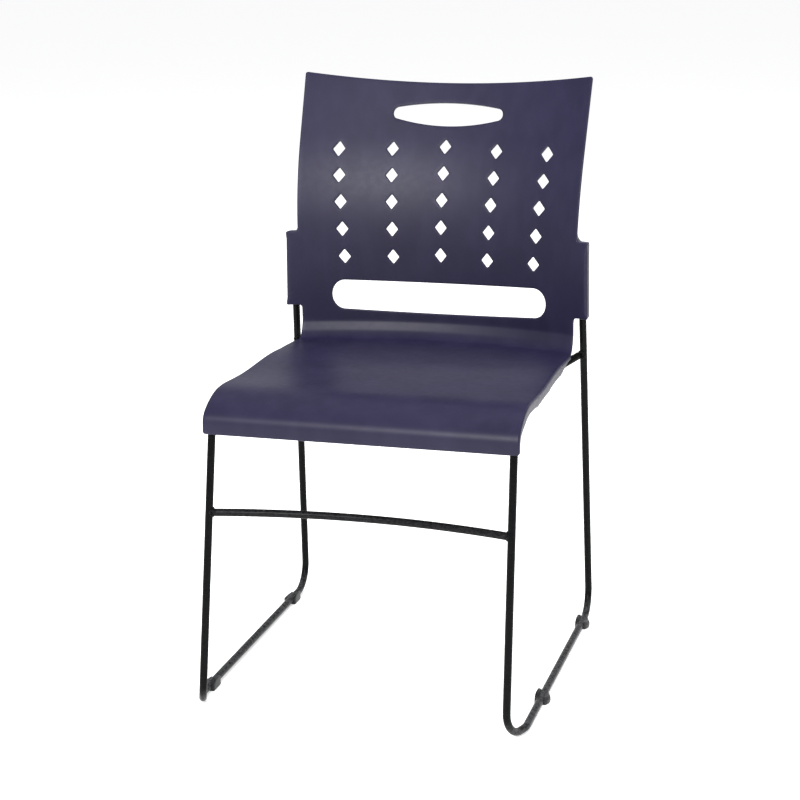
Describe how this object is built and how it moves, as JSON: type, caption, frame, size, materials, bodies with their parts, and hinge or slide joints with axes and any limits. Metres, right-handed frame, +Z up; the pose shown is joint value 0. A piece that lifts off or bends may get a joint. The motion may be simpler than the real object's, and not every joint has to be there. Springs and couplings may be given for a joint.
{
  "type": "stacking chair",
  "caption": "Stacking side chair: one-piece moulded seat and perforated back on a bent steel-rod sled frame with clip-on glides.",
  "frame": {"origin": "on the floor, at the centre of the chair's width and depth", "axes": "+Z up, -Y towards the front edge of the seat, +X towards the right of somebody who faces the chair"},
  "size_m": [0.495, 0.5669, 0.838],
  "materials": {
    "shell_plastic": "satin violet-navy polypropylene with a fine moulded grain",
    "frame_steel": "black powder coat",
    "glide_plastic": "black moulded nylon",
    "clip_plastic": "black moulded nylon",
    "screw_steel": "bright zinc plate"
  },
  "bodies": {
    "root": {"seat_back_shell": "shell_plastic", "left_side_rod": "frame_steel", "right_side_rod": "frame_steel", "front_crossbar": "frame_steel", "front_seat_crossrod": "frame_steel", "rear_seat_crossrod": "frame_steel", "left_front_shell_clip": "clip_plastic", "left_front_clip_screw": "screw_steel", "left_front_glide": "glide_plastic", "left_front_stack_bumper": "clip_plastic", "left_rear_shell_clip": "clip_plastic", "left_rear_clip_screw": "screw_steel", "left_rear_glide": "glide_plastic", "left_rear_stack_bumper": "clip_plastic", "left_sleeve_screw": "screw_steel", "right_front_shell_clip": "clip_plastic", "right_front_clip_screw": "screw_steel", "right_front_glide": "glide_plastic", "right_front_stack_bumper": "clip_plastic", "right_rear_shell_clip": "clip_plastic", "right_rear_clip_screw": "screw_steel", "right_rear_glide": "glide_plastic", "right_rear_stack_bumper": "clip_plastic", "right_sleeve_screw": "screw_steel"}
  },
  "joints": []
}
